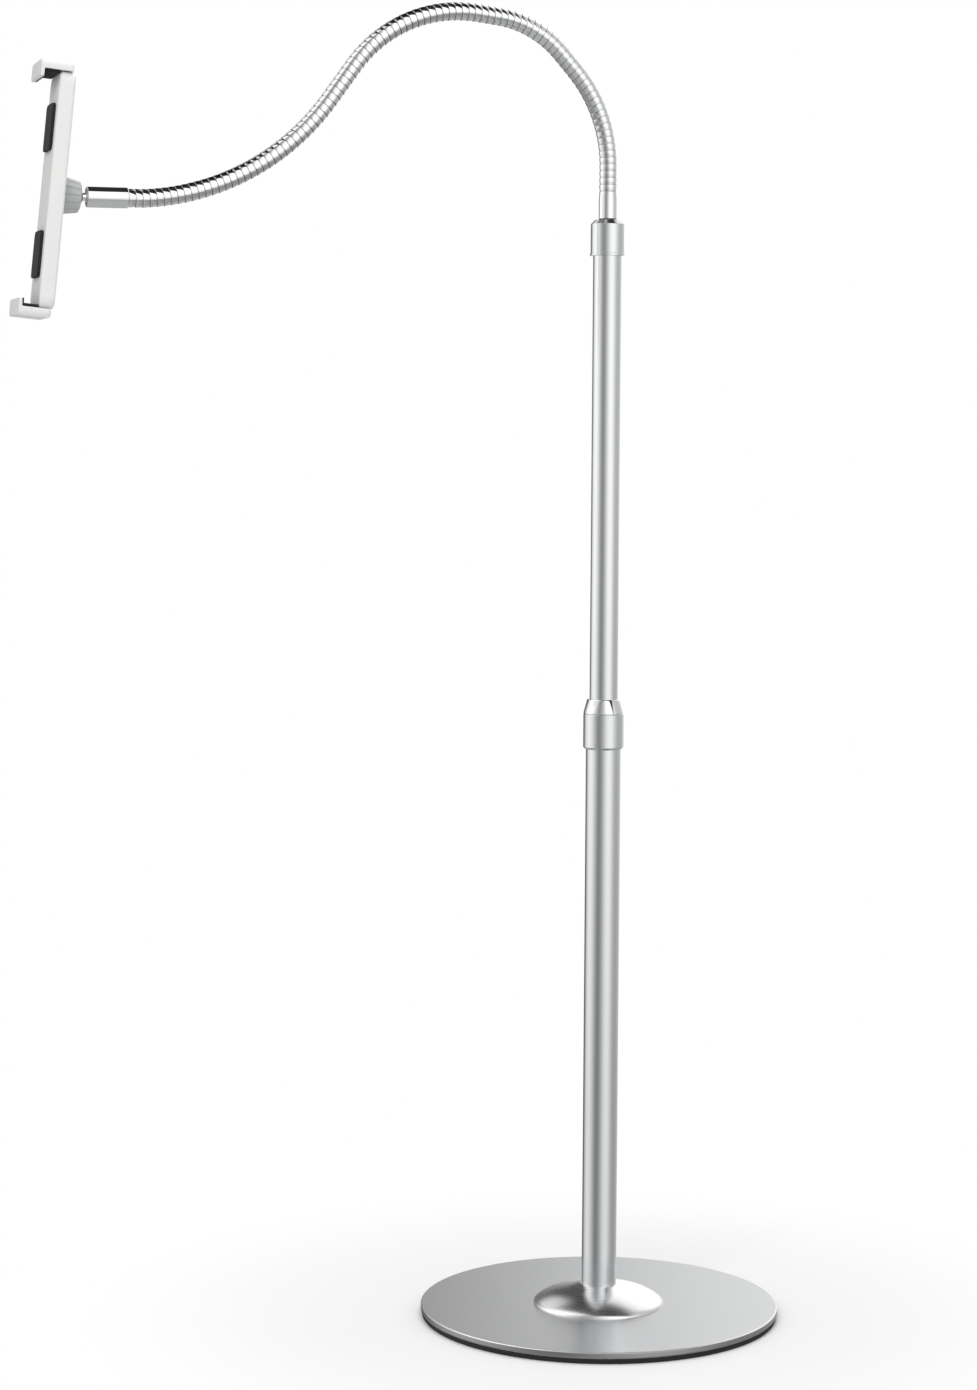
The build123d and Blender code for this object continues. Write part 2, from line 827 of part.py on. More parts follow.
pieces = {
    "foot_pad": make_foot_pad,
    "base_plate": make_base_plate,
    "flange_cover": make_flange_cover,
    "base_bolt": make_base_bolt,
    "base_washer": make_base_washer,
    "tube_foot_plug": make_tube_foot_plug,
    "lower_tube": make_lower_tube,
    "collet_sleeve": make_collet_sleeve,
    "lock_collar": make_lock_collar,
    "lock_cone": make_lock_cone,
    "guide_bush": make_guide_bush,
    "upper_tube": make_upper_tube,
    "bush_ring": make_bush_ring,
    "bush_end_cap": make_bush_end_cap,
    "top_collar": make_top_collar,
    "neck_insert": make_neck_insert,
    "seal_ring": make_seal_ring,
    "lower_ferrule": make_lower_ferrule,
    "gooseneck_span_1": lambda: make_span(0),
    "gooseneck_span_2": lambda: make_span(1),
    "gooseneck_span_3": lambda: make_span(2),
    "gooseneck_span_4": lambda: make_span(3),
    "end_ferrule": make_end_ferrule,
    "ball_stud": make_ball_stud,
    "locking_nut": make_locking_nut,
    "clamp_back_cover": make_clamp_back_cover,
    "clamp_front_shell": make_clamp_front_shell,
    "cover_screws": make_cover_screws,
    "grip_pads": make_grip_pads,
    "lower_jaw": make_lower_jaw,
    "lower_jaw_pad": make_lower_jaw_pad,
    "slide_bar": make_slide_bar,
    "jaw_screws": make_jaw_screws,
    "upper_jaw": make_upper_jaw,
    "upper_jaw_pad": make_upper_jaw_pad,
    "return_springs": make_return_springs,
}

os.makedirs("parts", exist_ok=True)
for name, make in pieces.items():
    export_step(make(), f"parts/{name}.step")
print("neck hinges", [(round(x, 3), round(z, 3)) for x, z in neck_hinges])
print("neck end", round(end_x, 3), round(end_z, 3), "ball", round(ball_x, 3), round(ball_z, 3))
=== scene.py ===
import json
import math

import bmesh
import bpy
from mathutils import Matrix, Vector

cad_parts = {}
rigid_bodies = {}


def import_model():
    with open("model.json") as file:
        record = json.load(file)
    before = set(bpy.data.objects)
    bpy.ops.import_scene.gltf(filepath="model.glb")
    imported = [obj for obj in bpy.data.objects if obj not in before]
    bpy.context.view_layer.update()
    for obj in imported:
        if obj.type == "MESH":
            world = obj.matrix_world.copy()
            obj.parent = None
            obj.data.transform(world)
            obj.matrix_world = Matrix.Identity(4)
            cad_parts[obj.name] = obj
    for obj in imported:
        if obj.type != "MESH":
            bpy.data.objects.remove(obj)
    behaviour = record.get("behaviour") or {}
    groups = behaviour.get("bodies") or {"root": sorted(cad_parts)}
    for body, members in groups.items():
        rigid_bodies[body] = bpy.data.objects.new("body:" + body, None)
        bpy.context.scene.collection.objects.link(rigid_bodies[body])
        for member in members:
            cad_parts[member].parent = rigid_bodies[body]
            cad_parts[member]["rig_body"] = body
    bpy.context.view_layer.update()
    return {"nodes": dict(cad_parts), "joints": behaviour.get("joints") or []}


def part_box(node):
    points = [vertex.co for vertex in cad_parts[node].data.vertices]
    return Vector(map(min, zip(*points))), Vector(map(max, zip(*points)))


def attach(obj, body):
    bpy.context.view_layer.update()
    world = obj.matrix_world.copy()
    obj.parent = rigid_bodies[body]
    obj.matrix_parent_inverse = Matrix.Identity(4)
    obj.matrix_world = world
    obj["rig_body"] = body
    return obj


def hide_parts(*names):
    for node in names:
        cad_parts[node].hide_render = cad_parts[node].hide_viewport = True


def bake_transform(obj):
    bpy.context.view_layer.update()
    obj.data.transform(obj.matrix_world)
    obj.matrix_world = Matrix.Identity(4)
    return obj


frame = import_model()
nodes = frame["nodes"]

# Foot pad: a black rubber sheet glued under the plate, cut a little smaller than it.
# Rubber is matt, nearly black and very finely grained.


def linear(code):
    """An sRGB hex colour as the linear colour that the shaders take."""
    parts = [int(code[place:place + 2], 16) / 255 for place in (1, 3, 5)]
    curved = [part / 12.92 if part <= 0.04045 else ((part + 0.055) / 1.055) ** 2.4 for part in parts]
    return (*curved, 1)


def add(tree, kind, links=None, **values):
    """Adds one node, sets its sockets and settings by name, and links the sockets given."""
    node = tree.nodes.new(kind)
    for name, value in values.items():
        if hasattr(node, name):
            setattr(node, name, value)
    for name, value in (links or {}).items():
        if isinstance(value, bpy.types.NodeSocket):
            tree.links.new(value, node.inputs[name])
        else:
            node.inputs[name].default_value = value
    return node


def new_material(name, colour, metallic, roughness):
    """A material with its tree, its Principled shader and the object's own coordinates."""
    material = bpy.data.materials.new(name)
    material.use_nodes = True
    tree = material.node_tree
    shader = tree.nodes["Principled BSDF"]
    shader.inputs["Base Color"].default_value = linear(colour)
    shader.inputs["Metallic"].default_value = metallic
    shader.inputs["Roughness"].default_value = roughness
    place = add(tree, "ShaderNodeTexCoord").outputs["Object"]
    return material, tree, shader, place


mm_per_metre = 1000


def grained(tree, shader, place, grain_mm, depth_mm, stretch=(1, 1, 1)):
    """A fine relief whose grain has a real size, longer along the axes where stretch is small."""
    laid = add(tree, "ShaderNodeMapping", {"Vector": place, "Scale": stretch}).outputs["Vector"]
    noise = add(tree, "ShaderNodeTexNoise", {"Vector": laid, "Scale": mm_per_metre / grain_mm, "Detail": 3})
    bump = add(tree, "ShaderNodeBump", {"Height": noise.outputs["Fac"], "Strength": 1.0,
                                        "Distance": depth_mm / mm_per_metre})
    tree.links.new(bump.outputs["Normal"], shader.inputs["Normal"])
    return noise.outputs["Fac"]


def varied(tree, shader, socket, factor, low, high):
    """Lets a factor move one of the shader's sockets between two values."""
    span = add(tree, "ShaderNodeMapRange", {"Value": factor, "To Min": low, "To Max": high})
    tree.links.new(span.outputs["Result"], shader.inputs[socket])


def moulded_rubber():
    """Black rubber: a dull, slightly dusty surface with a grain of half a millimetre."""
    material, tree, shader, place = new_material("moulded_rubber", "#1E1E1E", metallic=0, roughness=0.75)
    grain = grained(tree, shader, place, grain_mm=0.5, depth_mm=0.04)
    varied(tree, shader, "Roughness", grain, low=0.66, high=0.84)
    return material


def painted(piece, material):
    """Puts one material on the whole piece."""
    piece.data.materials.clear()
    piece.data.materials.append(material)
    return piece


tiny = 1e-9
sharp_from = math.radians(32)
bevelled_from = math.radians(40)


def turned(name, outline, material, body, replaced, segments=128, bevel=0.0, place=None):
    """A piece turned on a lathe about Z from its closed half outline in radius and height."""
    shape = bmesh.new()
    rows = []
    for radius, height in outline:
        if radius < tiny:
            rows.append([shape.verts.new((0, 0, height))])
            continue
        around = [2 * math.pi * step / segments for step in range(segments)]
        rows.append([shape.verts.new((radius * math.cos(a), radius * math.sin(a), height)) for a in around])
    for row, following in zip(rows, rows[1:] + rows[:1]):
        for step in range(segments):
            after = (step + 1) % segments
            ring = [row[step % len(row)], row[after % len(row)],
                    following[after % len(following)], following[step % len(following)]]
            corners = list(dict.fromkeys(ring))
            if len(corners) > 2:
                shape.faces.new(corners)
    bmesh.ops.recalc_face_normals(shape, faces=shape.faces)
    mesh = bpy.data.meshes.new(name)
    shape.to_mesh(mesh)
    shape.free()
    if place is not None:
        mesh.transform(place)
    piece = bpy.data.objects.new(name, mesh)
    bpy.context.scene.collection.objects.link(piece)
    mesh.shade_smooth()
    mesh.set_sharp_from_angle(angle=sharp_from)
    if bevel:
        rounding = piece.modifiers.new("edge", "BEVEL")
        rounding.width = bevel
        rounding.segments = 3
        rounding.limit_method = "ANGLE"
        rounding.angle_limit = bevelled_from
        rounding.harden_normals = True
    painted(piece, material)
    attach(piece, body)
    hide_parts(*replaced)
    return piece


def reach(node):
    """Outer radius, lowest and highest place of a round upright piece."""
    low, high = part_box(node)
    return max(high.x, high.y), low.z, high.z


rubber = moulded_rubber()
pad_radius, pad_low, pad_high = reach("foot_pad")
pad_hole = 0.0113
pad_edge = 0.0008
turned("foot_pad_rubber",
       [(pad_hole, pad_low), (pad_radius - pad_edge, pad_low), (pad_radius, pad_low + pad_edge),
        (pad_radius, pad_high), (pad_hole, pad_high)],
       rubber, "base", ["foot_pad"], segments=192)

# Base plate: a 5 mm steel disc with broken edges, satin ground and clear coated.
# The grinding leaves a soft, wide reflection that shades evenly across the disc.


def satin_ground_steel(radius, bevel):
    """Ground and lacquered steel: a soft reflection, a painted highlight on the corner and painted shade on
    the side.
    """
    # Painted light: the broken corner is painted white as a highlight, and the turned side is painted grey as
    # shade.
    ground, corner, side = linear("#D8D9DA"), linear("#FFFFFF"), linear("#A6A6A6")
    corner_start, side_start, side_end = radius - 1.4 * bevel, radius - 0.3 * bevel, radius - 0.1 * bevel
    material, tree, shader, place = new_material("satin_ground_steel", "#D8D9DA", metallic=1, roughness=0.38)
    grain = grained(tree, shader, place, grain_mm=0.7, depth_mm=0.004)
    varied(tree, shader, "Roughness", grain, low=0.34, high=0.42)
    flat = add(tree, "ShaderNodeMapping", {"Vector": place, "Scale": (1, 1, 0)}).outputs["Vector"]
    away = add(tree, "ShaderNodeVectorMath", {0: flat}, operation="LENGTH").outputs["Value"]
    corner_highlight_mask = add(tree, "ShaderNodeMapRange", {"Value": away, "From Min": corner_start,
                                                 "From Max": radius - bevel}).outputs["Result"]
    side_shade_mask = add(tree, "ShaderNodeMapRange", {"Value": away, "From Min": side_start,
                                               "From Max": side_end}).outputs["Result"]
    top = add(tree, "ShaderNodeMix", {0: corner_highlight_mask, 6: ground, 7: corner}, data_type="RGBA").outputs[2]
    whole = add(tree, "ShaderNodeMix", {0: side_shade_mask, 6: top, 7: side}, data_type="RGBA").outputs[2]
    tree.links.new(whole, shader.inputs["Base Color"])
    return material


plate_radius, plate_low, plate_high = reach("base_plate")
plate_bevel = 0.0008
plate_steel = satin_ground_steel(plate_radius, plate_bevel)
plate_hole = 0.00405
turned("base_plate_steel",
       [(plate_hole, plate_low), (plate_radius - plate_bevel, plate_low),
        (plate_radius, plate_low + plate_bevel), (plate_radius, plate_high - plate_bevel),
        (plate_radius - plate_bevel, plate_high), (plate_hole, plate_high)],
       plate_steel, "base", ["base_plate"], segments=256, bevel=0.0003)

# Flange cover: a spun sheet dome, chrome plated, that slides down the pole and hides its foot.
# Chrome over polished steel is nearly a mirror, with the faintest spinning marks.


def polished_chrome():
    """Chrome plate over polished steel: a bright neutral mirror, blurred by fine polishing marks."""
    material, tree, shader, place = new_material("polished_chrome", "#EDEEEF", metallic=1, roughness=0.06)
    grain = grained(tree, shader, place, grain_mm=3, depth_mm=0.0015)
    varied(tree, shader, "Roughness", grain, low=0.045, high=0.085)
    return material


def spun_chrome(ring_mm, ring_depth_mm):
    """Chrome plate over spun sheet: softer than turned work, with faint rings round the pole."""
    material, tree, shader, place = new_material("spun_chrome", "#F2F2F3", metallic=1, roughness=0.27)
    flat = add(tree, "ShaderNodeMapping", {"Vector": place, "Scale": (1, 1, 0)}).outputs["Vector"]
    away = add(tree, "ShaderNodeVectorMath", {0: flat}, operation="LENGTH").outputs["Value"]
    rings = add(tree, "ShaderNodeTexNoise", {"W": away, "Scale": mm_per_metre / ring_mm, "Detail": 2},
                noise_dimensions="1D")
    bump = add(tree, "ShaderNodeBump", {"Height": rings.outputs["Fac"], "Strength": 1.0,
                                        "Distance": ring_depth_mm / mm_per_metre})
    tree.links.new(bump.outputs["Normal"], shader.inputs["Normal"])
    varied(tree, shader, "Roughness", rings.outputs["Fac"], low=0.24, high=0.30)
    return material


chrome = polished_chrome()
flange_radius, flange_low, flange_high = reach("flange_cover")
flange_hole = 0.01355
flange_rise = flange_high - flange_low
flange_width = flange_radius - flange_hole
flange_shares = ((1.0, 0.0), (0.998, 0.05), (0.987, 0.11), (0.965, 0.17), (0.935, 0.23), (0.90, 0.29),
                 (0.85, 0.365), (0.80, 0.435), (0.74, 0.505), (0.68, 0.57), (0.62, 0.625), (0.55, 0.68),
                 (0.47, 0.735), (0.37, 0.79), (0.25, 0.855), (0.14, 0.92), (0.07, 0.975), (0.03, 1.0),
                 (0.0, 1.0), (0.0, 0.80), (0.30, 0.74), (0.60, 0.55), (0.84, 0.28), (0.945, 0.06),
                 (0.955, 0.0))
turned("flange_cover_chrome",
       [(flange_hole + across * flange_width, flange_low + up * flange_rise) for across, up in flange_shares],
       spun_chrome(ring_mm=0.4, ring_depth_mm=0.002), "base", ["flange_cover"], segments=160)

# Pole: two drawn steel tubes, satin plated and polished lengthwise.
# The plating shows the room as long upright bands with soft edges.


def satin_plated_tube():
    """Satin nickel plate on drawn tube: a soft mirror, drawn out a little by polishing along the tube."""
    material, tree, shader, place = new_material("satin_plated_tube", "#DFE0E1", metallic=1, roughness=0.2)
    grain = grained(tree, shader, place, grain_mm=0.5, depth_mm=0.0012, stretch=(1, 1, 0.02))
    varied(tree, shader, "Roughness", grain, low=0.17, high=0.23)
    return material


tube_plate = satin_plated_tube()
lower_tube_radius, lower_tube_low, lower_tube_high = reach("lower_tube")
lower_tube_wall = 0.0015
lower_tube_bore = lower_tube_radius - lower_tube_wall
turned("lower_tube_satin",
       [(lower_tube_bore, lower_tube_low), (lower_tube_radius, lower_tube_low),
        (lower_tube_radius, lower_tube_high), (lower_tube_bore, lower_tube_high)],
       tube_plate, "base", ["lower_tube"])
upper_tube_radius, upper_tube_low, upper_tube_high = reach("upper_tube")
upper_tube_wall = 0.0012
upper_tube_bore = upper_tube_radius - upper_tube_wall
turned("upper_tube_satin",
       [(upper_tube_bore, upper_tube_low), (upper_tube_radius, upper_tube_low),
        (upper_tube_radius, upper_tube_high), (upper_tube_bore, upper_tube_high)],
       tube_plate, "mast", ["upper_tube"])

# Twist lock: a satin sleeve that is turned by hand, with a polished cone screwed into its top.
# Both are turned from bar, so their corners are crisp with a narrow bright chamfer.

lock_radius, lock_low, lock_high = reach("lock_collar")
lock_bore = 0.0138
lock_chamfer = 0.0016
lock_seam = 0.0005
turned("lock_collar_satin",
       [(lock_bore, lock_low), (lock_radius - lock_chamfer, lock_low),
        (lock_radius, lock_low + lock_chamfer), (lock_radius, lock_high - lock_seam),
        (lock_radius - lock_seam, lock_high), (lock_bore, lock_high)],
       tube_plate, "twist_lock", ["lock_collar"], bevel=0.0002)
cone_radius, cone_low, cone_high = reach("lock_cone")
cone_bore = 0.0113
cone_top = 0.0123
cone_rim = 0.0007
turned("lock_cone_chrome",
       [(cone_bore, cone_low), (cone_radius - lock_seam, cone_low),
        (cone_radius, cone_low + lock_seam), (cone_top + cone_rim, cone_high - cone_rim),
        (cone_top, cone_high), (cone_bore, cone_high)],
       chrome, "twist_lock", ["lock_cone"], bevel=0.0002)

# Neck root: a satin cap with a bead at its foot, turned from bar and pressed over the upper tube.
# A black rubber seal lies in its top, and the chromed ferrule above it is crimped round the hose's end.

collar_radius, collar_low, collar_high = reach("top_collar")
collar_bead = 0.00035
collar_bead_height = 0.0018
collar_chamfer = 0.0032
collar_side = collar_radius - collar_bead
collar_bore = 0.01105
collar_seat = 0.00785
seal_sunk = 0.0014
collar_stud = 0.00405
collar_roof = 0.0024
turned("top_collar_satin",
       [(collar_bore, collar_low), (collar_radius, collar_low),
        (collar_radius, collar_low + collar_bead_height), (collar_side, collar_low + collar_bead_height),
        (collar_side, collar_high - collar_chamfer), (collar_side - collar_chamfer, collar_high),
        (collar_seat, collar_high),
        (collar_seat, collar_high - seal_sunk), (collar_stud, collar_high - seal_sunk),
        (collar_stud, collar_high - collar_roof), (collar_bore, collar_high - collar_roof)],
       tube_plate, "mast", ["top_collar"], bevel=0.00025)
seal_radius, seal_low, seal_high = reach("seal_ring")
turned("seal_ring_rubber",
       [(collar_stud, seal_low), (seal_radius, seal_low), (seal_radius, seal_high), (collar_stud, seal_high)],
       rubber, "mast", ["seal_ring"], segments=64, bevel=0.0003)

ferrule_radius, stud_low, ferrule_high = reach("lower_ferrule")
ferrule_edge = 0.0006
ferrule_crimp = 0.005
ferrule_lip = 0.0066
ferrule_stud = 0.004
ferrule_socket = 0.00485
ferrule_depth = 0.0083
turned("lower_ferrule_chrome",
       [(0, stud_low), (ferrule_stud, stud_low), (ferrule_stud, seal_high),
        (ferrule_radius - ferrule_edge, seal_high), (ferrule_radius, seal_high + ferrule_edge),
        (ferrule_radius, ferrule_high - ferrule_crimp),
        (ferrule_lip, ferrule_high), (ferrule_socket, ferrule_high),
        (ferrule_socket, ferrule_high - ferrule_depth), (0, ferrule_high - ferrule_depth)],
       chrome, "mast", ["lower_ferrule"], segments=96, bevel=0.0002)

# Gooseneck: an interlocked steel hose with a rib every 5 mm, chrome plated after winding.
# Each rib is a flat crown between two narrow grooves. It keeps straight for a moment at both ferrules.

hose_radius = 0.0069
rib_groove = 0.00003
rib_crown = 0.00014
rib_taper = 0.00048
rib_pitch = 0.00515
rib_step_share = 0.005
rib_row_count = 20
rib_rows = (rib_step_share, *(row / rib_row_count for row in range(1, rib_row_count)), 1 - rib_step_share)
rib_steps = len(rib_rows)
seam_sharpness = 14.0
groove_sharpness = 12.0
crown_power = 2.0
rib_sharp_from = math.radians(16)
hose_sides = 32
hinge_run = 0.008
neck_rise = 0.0189
neck_fall = 0.0315
neck_tail = 0.009
bend_radii = (0.108, 0.079, 0.1035, 0.188, 0.060)
bend_turns = (42, 41, 61, -50)
whole_turn = 90
last_turn = whole_turn - sum(bend_turns)
neck_runs = ((neck_rise, 0), (bend_radii[0], bend_turns[0]), (2 * hinge_run, 0),
             (bend_radii[1], bend_turns[1]), (2 * hinge_run, 0), (bend_radii[2], bend_turns[2]),
             (neck_fall, 0), (bend_radii[3], bend_turns[3]), (bend_radii[4], last_turn), (neck_tail, 0))


def neck_line():
    """Rib count, rib length, and the places of every rib's rows along the middle of the neck."""
    x, z, heading = 0.0, ferrule_high, math.pi / 2
    stretches = []
    for size, turn in neck_runs:
        length = size if turn == 0 else size * math.radians(abs(turn))
        bend = 0 if turn == 0 else math.radians(turn) / length
        stretches.append((length, bend))
    total = sum(length for length, bend in stretches)
    ribs = round(total / rib_pitch)
    pitch = total / ribs
    rows = [(rib + share) * pitch for rib in range(ribs) for share in rib_rows] + [total]
    places = []
    walked = 0.0
    for length, bend in stretches:
        while len(places) < len(rows) and rows[len(places)] <= walked + length + tiny:
            along = rows[len(places)] - walked
            if bend == 0:
                places.append((x + along * math.cos(heading), 0, z + along * math.sin(heading)))
            else:
                last = heading + bend * along
                places.append((x + (math.sin(last) - math.sin(heading)) / bend, 0,
                               z - (math.cos(last) - math.cos(heading)) / bend))
        if bend == 0:
            x, z = x + length * math.cos(heading), z + length * math.sin(heading)
        else:
            last = heading + bend * length
            x, z = (x + (math.sin(last) - math.sin(heading)) / bend,
                    z - (math.cos(last) - math.cos(heading)) / bend)
            heading = last
        walked += length
    return ribs, pitch, places


def ribbed_hose_tree(pitch):
    """Geometry nodes that sweep a ring along a line and swell it into a crown on every rib."""
    tree = bpy.data.node_groups.new("ribbed_hose", "GeometryNodeTree")
    face = tree.interface
    face.new_socket("Line", in_out="INPUT", socket_type="NodeSocketGeometry")
    sizes = {"Radius": hose_radius, "Groove": rib_groove, "Crown": rib_crown, "Taper": rib_taper,
             "Pitch": pitch}
    for name, value in sizes.items():
        face.new_socket(name, in_out="INPUT", socket_type="NodeSocketFloat").default_value = value
    face.new_socket("Sides", in_out="INPUT", socket_type="NodeSocketInt").default_value = hose_sides
    face.new_socket("Finish", in_out="INPUT", socket_type="NodeSocketMaterial")
    face.new_socket("Hose", in_out="OUTPUT", socket_type="NodeSocketGeometry")
    given = add(tree, "NodeGroupInput").outputs
    along = add(tree, "GeometryNodeSplineParameter").outputs["Length"]
    turns = add(tree, "ShaderNodeMath", {0: along, 1: given["Pitch"]}, operation="DIVIDE").outputs[0]
    phased = add(tree, "ShaderNodeMath", {0: turns, 1: rib_rows[0]}, operation="ADD").outputs[0]
    part = add(tree, "ShaderNodeMath", {0: phased}, operation="FRACT").outputs[0]
    offset = add(tree, "ShaderNodeMath", {0: part, 1: 0.5}, operation="SUBTRACT").outputs[0]
    far = add(tree, "ShaderNodeMath", {0: offset}, operation="ABSOLUTE").outputs[0]
    doubled = add(tree, "ShaderNodeMath", {0: far, 1: 2.0}, operation="MULTIPLY").outputs[0]
    steep = add(tree, "ShaderNodeMath", {0: doubled, 1: groove_sharpness}, operation="POWER").outputs[0]
    sunk = add(tree, "ShaderNodeMath", {0: steep, 1: given["Groove"]}, operation="MULTIPLY").outputs[0]
    round_off = add(tree, "ShaderNodeMath", {0: doubled, 1: crown_power}, operation="POWER").outputs[0]
    crowned = add(tree, "ShaderNodeMath", {0: round_off, 1: given["Crown"], 2: sunk},
                  operation="MULTIPLY_ADD").outputs[0]
    left = add(tree, "ShaderNodeMath", {0: 1.0, 1: part}, operation="SUBTRACT").outputs[0]
    fallen = add(tree, "ShaderNodeMath", {0: left, 1: given["Taper"], 2: crowned},
                 operation="MULTIPLY_ADD").outputs[0]
    radius = add(tree, "ShaderNodeMath", {0: given["Radius"], 1: fallen}, operation="SUBTRACT").outputs[0]
    seam = add(tree, "ShaderNodeMath", {0: doubled, 1: seam_sharpness}, operation="POWER").outputs[0]
    marked = add(tree, "GeometryNodeStoreNamedAttribute",
                 {"Geometry": given["Line"], "Name": "seam", "Value": seam},
                 data_type="FLOAT", domain="POINT").outputs["Geometry"]
    ring = add(tree, "GeometryNodeCurvePrimitiveCircle", {"Resolution": given["Sides"], "Radius": 1.0})
    swept = add(tree, "GeometryNodeCurveToMesh", {"Curve": marked, "Profile Curve": ring.outputs["Curve"],
                                                  "Scale": radius, "Fill Caps": True}).outputs["Mesh"]
    real = add(tree, "GeometryNodeRealizeInstances", {"Geometry": swept}).outputs["Geometry"]
    done = add(tree, "GeometryNodeSetMaterial", {"Geometry": real, "Material": given["Finish"]})
    out = add(tree, "NodeGroupOutput")
    tree.links.new(done.outputs["Geometry"], out.inputs["Hose"])
    return tree


def plated_hose():
    """Chrome plate over wound strip: the same mirror, with seams darkened partly by grime and partly by
    painted shade.
    """
    clean, seam_grime_and_shade_colour = linear("#EDEEEF"), linear("#606060")
    material, tree, shader, place = new_material("plated_hose", "#EDEEEF", metallic=1, roughness=0.06)
    grain = grained(tree, shader, place, grain_mm=3, depth_mm=0.0015)
    varied(tree, shader, "Roughness", grain, low=0.045, high=0.085)
    # Seam darkening is part grime, part painted shade; the painted shade is kept strong underneath and faint
    # on top.
    seam = add(tree, "ShaderNodeAttribute", attribute_name="seam").outputs["Fac"]
    outward = add(tree, "ShaderNodeNewGeometry").outputs["Normal"]
    upness = add(tree, "ShaderNodeSeparateXYZ", {0: outward}).outputs["Z"]
    underside_shade_share = add(tree, "ShaderNodeMapRange", {"Value": upness, "From Min": -0.5, "From Max": 0.3,
                                            "To Min": 1.0, "To Max": 0.08}).outputs["Result"]
    seam_grime_and_shade = add(tree, "ShaderNodeMath", {0: seam, 1: underside_shade_share}, operation="MULTIPLY").outputs[0]
    colour = add(tree, "ShaderNodeMix", {0: seam_grime_and_shade, 6: clean, 7: seam_grime_and_shade_colour}, data_type="RGBA").outputs[2]
    tree.links.new(colour, shader.inputs["Base Color"])
    return material


hose_chrome = plated_hose()
rib_total, true_pitch, hose_line = neck_line()
hose_tree = ribbed_hose_tree(true_pitch)


def hose_piece(name, first, last):
    """The stretch of hose between two ribs of the neck, as a plain mesh."""
    curve = bpy.data.curves.new(name + "_line", "CURVE")
    curve.dimensions = "3D"
    spline = curve.splines.new("POLY")
    points = hose_line[first * rib_steps:last * rib_steps + 1]
    spline.points.add(len(points) - 1)
    for point, where in zip(spline.points, points):
        point.co = (*where, 1)
    source = bpy.data.objects.new(name + "_line", curve)
    bpy.context.scene.collection.objects.link(source)
    ribs = source.modifiers.new("ribs", "NODES")
    ribs.node_group = hose_tree
    for item in hose_tree.interface.items_tree:
        if item.name == "Finish":
            ribs[item.identifier] = hose_chrome
    bpy.context.view_layer.update()
    made = source.evaluated_get(bpy.context.evaluated_depsgraph_get())
    mesh = bpy.data.meshes.new_from_object(made)
    bpy.data.objects.remove(source)
    piece = bpy.data.objects.new(name, mesh)
    bpy.context.scene.collection.objects.link(piece)
    mesh.shade_smooth()
    mesh.set_sharp_from_angle(angle=rib_sharp_from)
    painted(piece, hose_chrome)
    return piece


def hinge(name):
    """Place of one of the record's joints."""
    return next(Vector(joint["pos_m"]) for joint in frame["joints"] if joint["name"] == name)


def nearest_rib(place):
    """The rib whose groove lies nearest to a place on the neck."""
    gaps = [(Vector(where) - place).length for where in hose_line]
    return round(gaps.index(min(gaps)) / rib_steps)


bends = [nearest_rib(hinge(name)) for name in ("neck_bend_1", "neck_bend_2", "neck_bend_3")]
joins = [0, (bends[0] + bends[1]) // 2, (bends[1] + bends[2]) // 2, rib_total]
hose_names = ("gooseneck_lower", "gooseneck_crown", "gooseneck_outer")
hose_stands_for = (["gooseneck_span_1"], ["gooseneck_span_2", "gooseneck_span_3"], ["gooseneck_span_4"])
for part, name in enumerate(hose_names):
    hose = hose_piece(name, joins[part], joins[part + 1])
    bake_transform(hose)
    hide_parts(*hose_stands_for[part])

# End ferrule and ball stud: the ferrule is crimped on the hose, and the stud turns in its other end.
# Both are turned and chromed. The recess round the stem shows as a dark ring.

end_low, end_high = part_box("end_ferrule")
end_length = end_high.x - end_low.x
end_centre = (end_low.z + end_high.z) / 2
end_radius = (end_high.y - end_low.y) / 2
laid_left = Matrix.Translation((end_high.x, 0, end_centre)) @ Matrix.Rotation(math.radians(-90), 4, "Y")
recess_radius = 0.0042
recess_depth = 0.001
stem_radius = 0.0028
stem_seat = 0.012
stem_gap = 0.00005
stem_hole = stem_radius + stem_gap
turned("end_ferrule_chrome",
       [(0, ferrule_depth), (ferrule_socket, ferrule_depth), (ferrule_socket, 0),
        (end_radius - ferrule_edge, 0), (end_radius, ferrule_edge), (end_radius, end_length - ferrule_edge),
        (end_radius - ferrule_edge, end_length), (recess_radius, end_length),
        (recess_radius, end_length - recess_depth), (stem_hole, end_length - recess_depth),
        (stem_hole, end_length - stem_seat), (0, end_length - stem_seat)],
       chrome, "neck_4", ["end_ferrule"], segments=96, bevel=0.0002, place=laid_left)

ball_low, ball_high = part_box("ball_stud")
ball_radius = (ball_high.z - ball_low.z) / 2
stud_length = ball_high.x - ball_low.x
ball_steps = 32
stem_angle = math.asin(stem_radius / ball_radius)
ball_outline = [(0, 0), (stem_radius, 0)]
for step in range(ball_steps + 1):
    angle = stem_angle + (math.pi - stem_angle) * step / ball_steps
    ball_outline.append((max(0.0, ball_radius * math.sin(angle)),
                         stud_length - ball_radius - ball_radius * math.cos(angle)))
laid_stud = Matrix.Translation((ball_high.x, 0, end_centre)) @ Matrix.Rotation(math.radians(-90), 4, "Y")
turned("ball_stud_chrome", ball_outline, chrome, "ball", ["ball_stud"], segments=64,
       place=laid_stud)

# Clamp: two halves of injection moulded white ABS with soft corners, screwed together from the back.
# The moulding has a faint spark-eroded grain and a soft sheen.


def moulded_abs(name, colour, roughness):
    """Injection moulded ABS: an even colour with a fine spark-eroded grain and a soft sheen."""
    material, tree, shader, place = new_material(name, colour, metallic=0, roughness=roughness)
    grain = grained(tree, shader, place, grain_mm=0.6, depth_mm=0.012)
    varied(tree, shader, "Roughness", grain, low=roughness - 0.05, high=roughness + 0.07)
    return material


weld_gap = 0.000002
flat_within = math.radians(0.3)
softened_from = math.radians(35)


